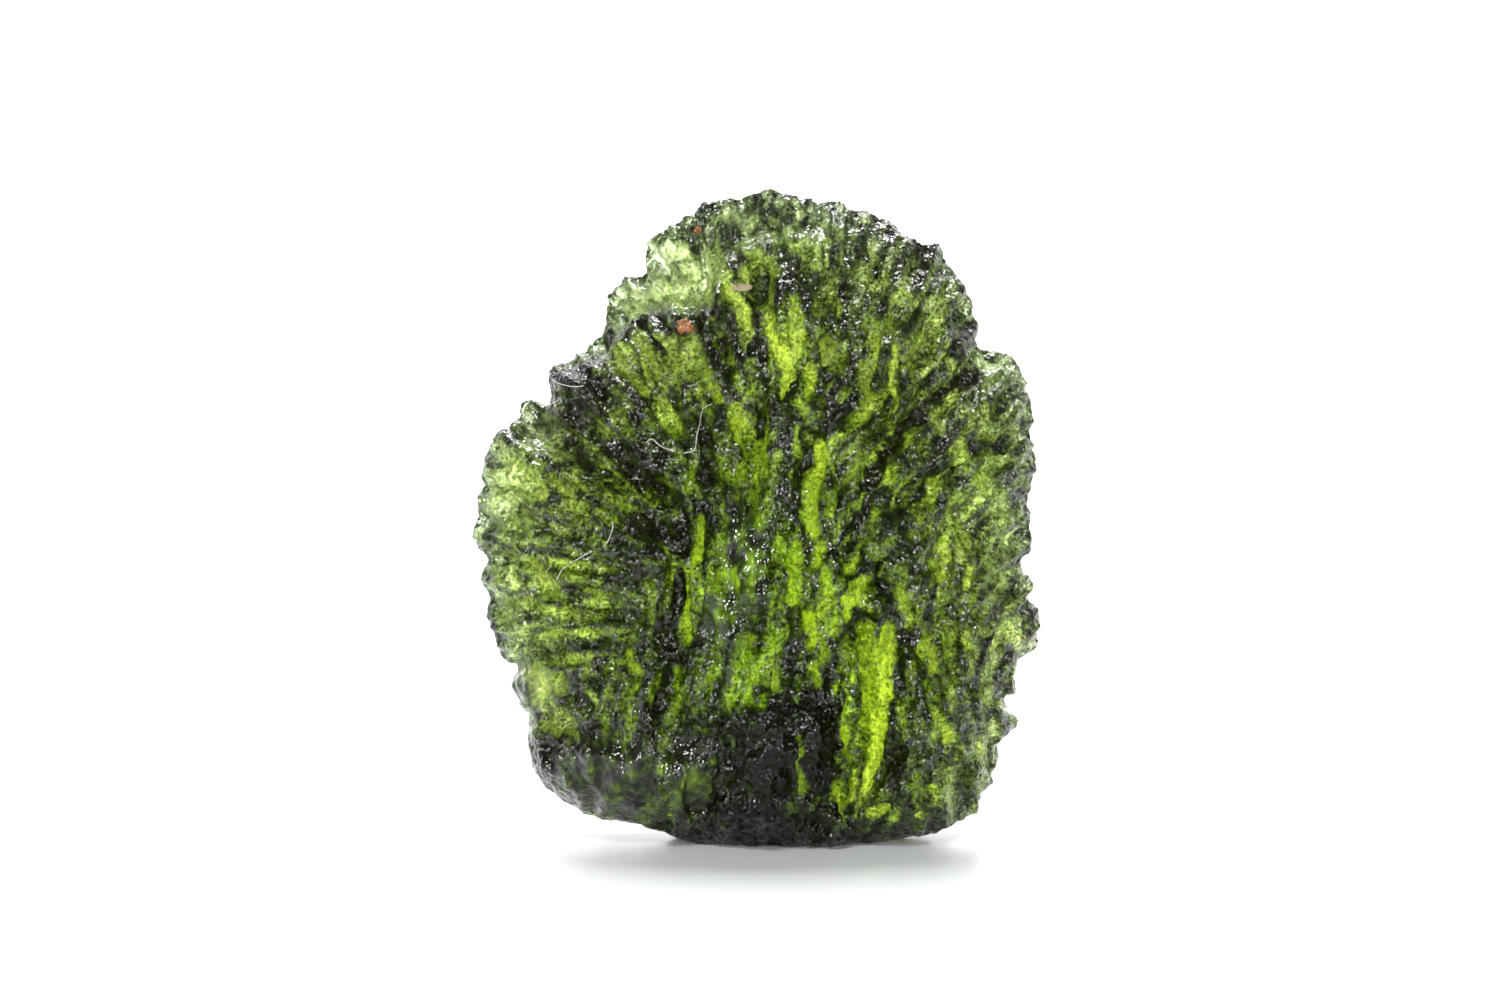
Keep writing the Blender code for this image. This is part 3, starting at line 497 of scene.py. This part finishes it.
# The relief: flutes are shallow at the rim, the windows lie smooth and a little deeper than the rest
knobby = swelling(x, z, *KNOBBY_PLACE)
smooth_foot = swelling(x, z, *SMOOTH_FOOT)
smooth_nub = swelling(x, z, *SMOOTH_NUB)
flutes = BROAD_FLUTE * (0.8 - np.abs(broad)) + MIDDLE_FLUTE * (0.8 - np.abs(middle)) + FINE_FLUTE * fine
height = flutes * (1.0 - 0.8 * rim) + LUMP * lumpy * (0.7 + 0.3 * rim) + GRAIN * grain
height -= PIT * smooth_step(pits, 0.35, 0.6)
height += KNOB * knobby * (0.3 - np.abs(knobs))
height *= 1.0 - np.clip(0.6 * smooth_foot + 0.8 * smooth_nub, 0.0, 0.85) * (1.0 - back)
height = height * (1.0 - 0.7 * window) - WINDOW_DEPTH * window * front
# The flat spot that the stone stands on stays free of relief
above_foot = smooth_step(places[:, 2], 0.05, 0.35)
# Where the front has a window, the back lies smooth too, so that the light comes straight through
soft = places.copy()
for _ in range(WINDOW_ROUNDS):
    soft = neighbours_mean(soft, edges, counts)
ease = np.clip(window * (0.9 * back + 0.5 * front), 0.0, 1.0)[:, None]
places += (soft - places) * ease
places += normals * (height * above_foot)[:, None]
set_places(stone_mesh, places)

# The outermost skin: smooth with a grey sheen in some places, glossy in small spots elsewhere
open_glass = smooth_step(wide, 0.62, 0.95)
sheen = np.zeros(len(x))
for *oval, strength in SHEEN_PLACES:
    away = oval_away(x, z, *oval) + 0.5 * ragged
    sheen = np.maximum(sheen, fading(strength, away, 0.5, 1.3))
sheen = np.maximum(sheen * (1.0 - back), 0.6 * open_glass * front)
clusters = smooth_step(speckle(places, size=1.5, seed=9), -0.25, 0.25)
glossy = (1.0 - 0.75 * window) * (1.0 - 0.7 * np.clip(knobby * dark, 0.0, 1.0)) * (0.7 + 0.3 * clusters)
glossy *= 1.0 - 0.75 * rim * dark

# How clear the glass is at each point: the etched ground is clearest on the floors of the flutes,
# in patches and in fine lines along them
floors = smooth_step(np.abs(broad), 0.6, 1.4)
thin = smooth_step(middle * np.sign(broad), -0.2, 1.0)
patchy = smooth_step(speckle(places, size=2.2, seed=6), -0.25, 0.35)
hair = smooth_step(fine, -0.9, 1.1)
ground = 0.10 + 0.74 * wide * floors * (0.35 + 0.65 * patchy) + 0.22 * thin * wide + 0.12 * wobble
ground -= 0.05 * smooth_foot
ground = (ground + open_glass * np.clip(0.50 + 2.2 * lumpy, 0.10, 1.0)) * (0.42 + 1.06 * hair)
ground *= np.clip(1.02 + 1.1 * grain, 0.3, 1.8)
mottled = window * (0.97 + 0.30 * grain - 0.08 * np.abs(fine))
# The windows add painted light, and the dark furrows and places painted shade
front_clearness = np.maximum(ground, mottled) * (1.0 - 0.97 * dark)
back_clearness = np.maximum((0.50 + 0.40 * wide + 0.15 * floors) * (0.76 + 0.48 * hair), window)
back_clearness *= 1.0 - 0.6 * dark
rim_clearness = np.clip(0.20 + 0.85 * wide + 0.3 * lumpy, 0.2, 1.0)
rim_clearness *= (1.0 - 0.8 * dark) * (0.6 + 0.7 * hair)
clear = front * front_clearness + back * back_clearness + rim * rim_clearness
# Painted shade: the skin is tinted darker close to the floor, so less light comes through there
clear *= 0.25 + 0.75 * smooth_step(places[:, 2], 0.1, 1.2)
# The painted light of the windows is deep green, but pale where the glass is thin: on the shelf and at
# the right rim
pale_side = np.maximum(smooth_step(x, 7.6, 8.8), smooth_step(x, 6.0, 7.0) * smooth_step(z, 11.8, 12.6))
deep_window = window * front * (1.0 - open_glass) * (1.0 - pale_side)

# The glass reads these values from the mesh
for name, values in (
    ("clearness", clear),
    ("window", deep_window),
    ("glossy", glossy),
    ("sheen", sheen),
    ("pale", smooth_step(wide, 0.5, 0.85)),
):
    layer = stone_mesh.attributes.new(name, "FLOAT", "POINT")
    layer.data.foreach_set("value", np.clip(values, 0.0, 1.0))

glass = bpy.data.materials.new("green_glass_etched")
glass.use_nodes = True
tree = glass.node_tree
shader = tree.nodes["Principled BSDF"]
output = tree.nodes["Material Output"]
where = tree.nodes.new("ShaderNodeTexCoord")


def attribute(name):
    node = tree.nodes.new("ShaderNodeAttribute")
    node.attribute_name = name
    return node.outputs["Fac"]


def combine(operation, *values):
    node = tree.nodes.new("ShaderNodeMath")
    node.operation = operation
    for socket, value in zip(node.inputs, values):
        if isinstance(value, float):
            socket.default_value = value
        else:
            tree.links.new(value, socket)
    return node.outputs["Value"]


def fine_noise(scale):
    node = tree.nodes.new("ShaderNodeTexNoise")
    node.inputs["Scale"].default_value = scale
    node.inputs["Detail"].default_value = 1.0
    tree.links.new(where.outputs["Object"], node.inputs["Vector"])
    return node.outputs["Fac"]


def stretched(value, low, high, to_low, to_high):
    """A value between low and high, brought to between to_low and to_high."""
    node = tree.nodes.new("ShaderNodeMapRange")
    node.inputs["From Min"].default_value = low
    node.inputs["From Max"].default_value = high
    node.inputs["To Min"].default_value = to_low
    node.inputs["To Max"].default_value = to_high
    tree.links.new(value, node.inputs["Value"])
    return node.outputs["Result"]


def tinted(colour, factor, tint):
    """A colour multiplied by a tint as far as the factor says."""
    node = tree.nodes.new("ShaderNodeMix")
    node.data_type = "RGBA"
    node.blend_type = "MULTIPLY"
    tree.links.new(factor, node.inputs["Factor"])
    tree.links.new(colour, node.inputs["A"])
    node.inputs["B"].default_value = tint
    return node.outputs["Result"]


shader.inputs["Metallic"].default_value = 0.0
shader.inputs["IOR"].default_value = 1.49
shader.inputs["Transmission Weight"].default_value = 1.0
volume = tree.nodes.new("ShaderNodeVolumeAbsorption")
volume.inputs["Color"].default_value = (0.785, 0.894, 0.05, 1.0)
volume.inputs["Density"].default_value = 452.0
tree.links.new(volume.outputs["Volume"], output.inputs["Volume"])
# The etched skin is darker in its finest pits. It is calmer where it shows a sheen, and a little
# calmer in the windows
calmer = combine("MAXIMUM", attribute("sheen"), combine("MULTIPLY", attribute("window"), 0.45))
specks = tree.nodes.new("ShaderNodeMix")
tree.links.new(calmer, specks.inputs["Factor"])
tree.links.new(stretched(fine_noise(8800.0), 0.36, 0.62, 0.32, 1.50), specks.inputs["A"])
specks.inputs["B"].default_value = 1.0
clear_skin = tree.nodes.new("ShaderNodeValToRGB")
for at, _ in SKIN_COLOURS[1:-1]:
    clear_skin.color_ramp.elements.new(at)
for stop, (_, colour) in zip(clear_skin.color_ramp.elements, SKIN_COLOURS):
    stop.color = colour
speckled = combine("MULTIPLY", attribute("clearness"), specks.outputs["Result"])
tree.links.new(speckled, clear_skin.inputs["Fac"])
# The windows look deep into the stone, so their painted light is tinted the yellowest. Thin glass is a
# cooler green
deep = tinted(clear_skin.outputs["Color"], attribute("window"), (1.0, 0.93, 0.45, 1.0))
cool = tinted(deep, attribute("pale"), (0.91, 1.0, 0.93, 1.0))
tree.links.new(cool, shader.inputs["Base Color"])
# Light that goes through is scattered by the pits, while the outermost skin is glossy in small spots
shader.inputs["Roughness"].default_value = 0.30
shader.inputs["Specular Tint"].default_value = (0.05, 0.05, 0.05, 1.0)
shader.inputs["Coat Roughness"].default_value = 0.07
shader.inputs["Coat IOR"].default_value = 1.5
spots = fine_noise(4600.0)
gloss = combine("MULTIPLY", stretched(spots, 0.43, 0.50, 0.05, 1.0), attribute("glossy"))
tree.links.new(combine("MAXIMUM", gloss, attribute("sheen")), shader.inputs["Coat Weight"])
# The spots stand out as well, but hardly where the skin shows a sheen
calm = combine("MULTIPLY_ADD", attribute("sheen"), -0.75, 1.0)
bump = tree.nodes.new("ShaderNodeBump")
bump.inputs["Strength"].default_value = 1.0
bump.inputs["Distance"].default_value = 0.00015
tree.links.new(combine("MULTIPLY", spots, calm), bump.inputs["Height"])
tree.links.new(bump.outputs["Normal"], shader.inputs["Normal"])
tree.links.new(bump.outputs["Normal"], shader.inputs["Coat Normal"])

stone_mesh.materials.append(glass)
smooth_shaded(stone_mesh)
stone = placed("glass_stone", stone_mesh)
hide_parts("moldavite")
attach(stone, "root")

# Two grains of sand: orange quartz, worn round by water. They weren't made with the stone: they are
# wedged in its relief, the larger one under the ledge and the smaller one near the top left rim.
# A grain's place is across and up in millimetres, and its size across, deep and high.
SAND_GRAINS = (
    ("sand_grain", (-2.74, 18.96), (0.56, 0.42, 0.54), 3.0),
    ("small_sand_grain", (-2.2, 22.5), (0.26, 0.22, 0.24), 8.0),
)
# How deep the dents go, in a grain's radius, and how far its middle stands out, in its depth
SAND_DENTS = 0.5
SAND_RISE = 0.25
SEEN_FROM = Vector(VIEWPOINT)
STONE_SURFACE = BVHTree.FromPolygons(places.tolist(), [tuple(p.vertices) for p in stone_mesh.polygons])


def on_front(x, z):
    """The place and the direction of the stone's surface that shows at x, z on the middle plane."""
    ray = (Vector((x, 0.0, z)) - SEEN_FROM).normalized()
    place, normal, _, _ = STONE_SURFACE.ray_cast(SEEN_FROM, ray)
    return place, normal


def mottled_colour(name):
    """A node group that mixes two colours in soft spots."""
    group = bpy.data.node_groups.new(name, "ShaderNodeTree")
    for socket, way, kind in (
        ("Light", "INPUT", "NodeSocketColor"),
        ("Dark", "INPUT", "NodeSocketColor"),
        ("Scale", "INPUT", "NodeSocketFloat"),
        ("Color", "OUTPUT", "NodeSocketColor"),
    ):
        group.interface.new_socket(socket, in_out=way, socket_type=kind)
    given = group.nodes.new("NodeGroupInput")
    result = group.nodes.new("NodeGroupOutput")
    place = group.nodes.new("ShaderNodeTexCoord")
    cloud = group.nodes.new("ShaderNodeTexNoise")
    blend = group.nodes.new("ShaderNodeMix")
    blend.data_type = "RGBA"
    group.links.new(place.outputs["Object"], cloud.inputs["Vector"])
    group.links.new(given.outputs["Scale"], cloud.inputs["Scale"])
    group.links.new(cloud.outputs["Fac"], blend.inputs["Factor"])
    group.links.new(given.outputs["Dark"], blend.inputs["A"])
    group.links.new(given.outputs["Light"], blend.inputs["B"])
    group.links.new(blend.outputs["Result"], result.inputs["Color"])
    return group


MOTTLE = mottled_colour("mottle")


def mottled_material(name, light, dark, scale, roughness):
    material = bpy.data.materials.new(name)
    material.use_nodes = True
    shader = material.node_tree.nodes["Principled BSDF"]
    mottle = material.node_tree.nodes.new("ShaderNodeGroup")
    mottle.node_tree = MOTTLE
    mottle.inputs["Light"].default_value = (*light, 1.0)
    mottle.inputs["Dark"].default_value = (*dark, 1.0)
    mottle.inputs["Scale"].default_value = scale
    material.node_tree.links.new(mottle.outputs["Color"], shader.inputs["Base Color"])
    shader.inputs["Roughness"].default_value = roughness
    return material


def add_dirt(name, mesh, material):
    smooth_shaded(mesh)
    mesh.materials.append(material)
    piece = placed(name, mesh)
    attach(piece, "root")


def grain_mesh(name, centre, size, seed):
    """A worn grain: a ball with blunt, seeded dents."""
    bm = bmesh.new()
    bmesh.ops.create_icosphere(bm, subdivisions=4, radius=1.0)
    for vert in bm.verts:
        dents = noise.fractal(vert.co * 1.3 + Vector((seed, 0.0, 0.0)), 1.0, 2.0, 3)
        shaped = vert.co * (1.0 + SAND_DENTS * dents)
        vert.co = (centre + Vector(shaped[i] * size[i] / 2.0 for i in range(3))) * MM
    return mesh_from(bm, name)


SAND = mottled_material("orange_sand", (0.34, 0.13, 0.03), (0.06, 0.02, 0.005), 5500.0, 0.22)
for name, place, size, seed in SAND_GRAINS:
    seat, seat_normal = on_front(*place)
    add_dirt(name, grain_mesh(name, seat + seat_normal * SAND_RISE * size[1], size, seed), SAND)

# A flake: a thin tan chip of dirt, probably of clay, split off along its grain. It lies loose on the
# front above the two long windows and is slightly bent.
FLAKE_PLACE = (-0.61, 20.4)
FLAKE_LENGTH = 0.74
FLAKE_WIDTH = 0.24
FLAKE_THICKNESS = 0.04
FLAKE_LIFT = 0.2
FLAKE_BEND = 0.05
FLAKE_RIPPLE = 0.03
seat, seat_normal = on_front(*FLAKE_PLACE)
# It lies between the slope of its seat and the plane of the stone's front
facing = (seat_normal + Vector((0.0, -1.5, 0.3))).normalized()
across = Vector((1.0, 0.0, 0.06))
across = (across - facing * across.dot(facing)).normalized()
upward = facing.cross(across)
bm = bmesh.new()
bmesh.ops.create_grid(bm, x_segments=24, y_segments=10, size=0.5)
for vert in bm.verts:
    u, v = 2.0 * vert.co.x, 2.0 * vert.co.y
    ragged_edge = 1.0 + 0.25 * noise.noise(Vector((3.0 * u, 0.0, 5.0)))
    taper = math.sqrt(max(0.05, 1.0 - 0.9 * u * u)) * ragged_edge
    bend = FLAKE_BEND * u * u + FLAKE_RIPPLE * noise.noise(Vector((2.5 * u, 2.5 * v, 1.0)))
    spot = across * (0.5 * FLAKE_LENGTH * u) + upward * (0.5 * FLAKE_WIDTH * v * taper)
    vert.co = seat + spot + facing * (FLAKE_LIFT - bend)
bmesh.ops.solidify(bm, geom=bm.faces[:], thickness=FLAKE_THICKNESS)
bmesh.ops.recalc_face_normals(bm, faces=bm.faces)
bmesh.ops.scale(bm, verts=bm.verts, vec=(MM, MM, MM))
TAN_CHIP = mottled_material("tan_chip", (0.30, 0.26, 0.15), (0.12, 0.10, 0.05), 5000.0, 0.6)
add_dirt("tan_flake", mesh_from(bm, "tan_flake"), TAN_CHIP)

# Lint: five loose threads of pale fibre, probably cotton, pulled off a cloth. They cling to the left
# half of the front, lie over the relief and touch only its ridges.
THREAD_RADIUS = 0.016
THREAD_STEP = 0.07
THREAD_LIFT = 0.06
# How many steps either way a thread bridges between ridges, and how many even out its bends
BRIDGED_STEPS = 3
EASED_STEPS = 2
THREADS = [
    [(-7.33, 16.6), (-7.3, 16.75), (-7.42, 16.98), (-7.52, 17.0), (-7.40, 16.93), (-7.1, 16.83),
     (-6.71, 16.76), (-6.38, 16.8)],
    [(-1.67, 16.13), (-2.0, 15.95), (-2.11, 15.47), (-2.22, 15.0), (-2.3, 14.48), (-2.48, 14.37),
     (-2.7, 14.33)],
    [(-4.1, 14.7), (-3.88, 14.85), (-3.62, 14.63), (-3.33, 14.48), (-3.0, 14.4)],
    [(-5.31, 11.8), (-5.35, 11.47), (-5.53, 11.03), (-5.68, 10.92)],
    [(-6.08, 10.73), (-6.71, 10.36), (-7.15, 10.07), (-7.41, 9.63)],
]


def along(points):
    """Even steps along a smooth curve through the given points."""
    ends = [points[0]] + points + [points[-1]]
    way = []
    for a, b, c, d in zip(ends, ends[1:], ends[2:], ends[3:]):
        a, b, c, d = (np.array(p) for p in (a, b, c, d))
        steps = max(2, int(np.hypot(*(c - b)) / THREAD_STEP))
        for t in np.linspace(0.0, 1.0, steps, endpoint=False):
            bent = 2 * b + (c - a) * t + (2 * a - 5 * b + 4 * c - d) * t**2
            way.append(0.5 * (bent + (3 * b - a - 3 * c + d) * t**3))
    return way + [np.array(points[-1])]


def brought_to(place, depth):
    """The point at the given depth that shows where the place shows."""
    share = (depth - VIEWPOINT[1]) / (place.y - VIEWPOINT[1])
    return SEEN_FROM + (place - SEEN_FROM) * share


def around(values, i, reach):
    return values[max(0, i - reach):i + reach + 1]


def thread_mesh(points):
    """A tube that hangs over the ridges along the given points."""
    line = [on_front(*point)[0] for point in along(points)]
    depths = [place.y for place in line]
    hung = [min(around(depths, i, BRIDGED_STEPS)) for i in range(len(line))]
    hung = [np.mean(around(hung, i, EASED_STEPS)) for i in range(len(line))]
    curve = bpy.data.curves.new("thread", "CURVE")
    curve.dimensions = "3D"
    curve.bevel_depth = THREAD_RADIUS * MM
    curve.bevel_resolution = 2
    curve.use_fill_caps = True
    spline = curve.splines.new("POLY")
    spline.points.add(len(line) - 1)
    for point, place, depth in zip(spline.points, line, hung):
        point.co = (*(brought_to(place, depth - THREAD_LIFT) * MM), 1.0)
    return turned_to_mesh(placed("thread", curve))


LINT = mottled_material("pale_fibre", (0.52, 0.53, 0.48), (0.24, 0.25, 0.20), 3000.0, 0.5)
for number, points in enumerate(THREADS, 1):
    add_dirt("lint_%d" % number, thread_mesh(points), LINT)

# The floor: a pale painted board with a slight gloss, wide enough to fill the picture. The stone
# rests on it by its small flat spot.
FLOOR_HALF_WIDTH = 400.0
FLOOR_GAP = 0.02
bm = bmesh.new()
bmesh.ops.create_grid(bm, x_segments=1, y_segments=1, size=FLOOR_HALF_WIDTH * MM)
bmesh.ops.translate(bm, verts=bm.verts, vec=(0.0, 0.0, -FLOOR_GAP * MM))
floor_mesh = mesh_from(bm, "floor")
pale = bpy.data.materials.new("pale_board")
pale.use_nodes = True
pale_shader = pale.node_tree.nodes["Principled BSDF"]
pale_shader.inputs["Base Color"].default_value = (0.70, 0.715, 0.73, 1.0)
pale_shader.inputs["Roughness"].default_value = 0.32
pale_shader.inputs["IOR"].default_value = 1.5
floor_mesh.materials.append(pale)
floor = placed("floor", floor_mesh)

# The surround: white all round, bright behind the stone and dimmer in front of it, so that light
# comes through the glass where it is thin.
SURROUND_IN_FRONT = 0.22
SURROUND_BEHIND = 2.4
world = bpy.data.worlds.new("surround")
world.use_nodes = True
sky = world.node_tree
background = sky.nodes["Background"]
direction = sky.nodes.new("ShaderNodeTexCoord")
parts = sky.nodes.new("ShaderNodeSeparateXYZ")
sky.links.new(direction.outputs["Generated"], parts.inputs["Vector"])
fade = sky.nodes.new("ShaderNodeMapRange")
fade.interpolation_type = "SMOOTHSTEP"
fade.inputs["From Min"].default_value = 0.2
fade.inputs["From Max"].default_value = 0.95
fade.inputs["To Min"].default_value = SURROUND_IN_FRONT
fade.inputs["To Max"].default_value = SURROUND_BEHIND
sky.links.new(parts.outputs["Y"], fade.inputs["Value"])
sky.links.new(fade.outputs["Result"], background.inputs["Strength"])
background.inputs["Color"].default_value = (1.0, 1.0, 1.0, 1.0)
bpy.context.scene.world = world

# The lamps: a soft one above and behind the stone, and three smaller ones in front that give the
# etched skin its glints. For each: place, aim and width, all in metres, and power in watts.
LAMPS = (
    ("top_lamp", (0.0, 0.18, 0.50), (0.0, 0.0, 0.0), 0.22, 3.6),
    ("left_panel", (-0.25, -0.30, 0.07), (0.0, 0.0, 0.012), 0.09, 1.0),
    ("right_panel", (0.28, -0.26, 0.09), (0.0, 0.0, 0.012), 0.09, 1.0),
    ("high_panel", (-0.04, -0.26, 0.30), (0.0, 0.0, 0.012), 0.08, 0.8),
)
for name, place, aim, width, power in LAMPS:
    lamp_data = bpy.data.lights.new(name, "AREA")
    lamp_data.shape = "DISK"
    lamp_data.size = width
    lamp_data.energy = power
    lamp = placed(name, lamp_data)
    lamp.location = place
    lamp.rotation_euler = (Vector(aim) - Vector(place)).to_track_quat("-Z", "Y").to_euler()

# The camera: it stands in front of the stone, a little above its crown, and looks at its middle
# through a long lens.
LENS = 100.0
PICTURE_WIDTH = 36.0
AIM = Vector((-0.28, 0.0, 12.6))
camera_data = bpy.data.cameras.new("camera")
camera_data.lens = LENS
camera_data.sensor_width = PICTURE_WIDTH
camera_data.clip_start = 0.005
camera = placed("camera", camera_data)
camera.location = SEEN_FROM * MM
camera.rotation_euler = (AIM * MM - camera.location).to_track_quat("-Z", "Y").to_euler()
bpy.context.scene.camera = camera
bpy.context.scene.view_settings.view_transform = "Standard"
bpy.context.scene.view_settings.look = "None"
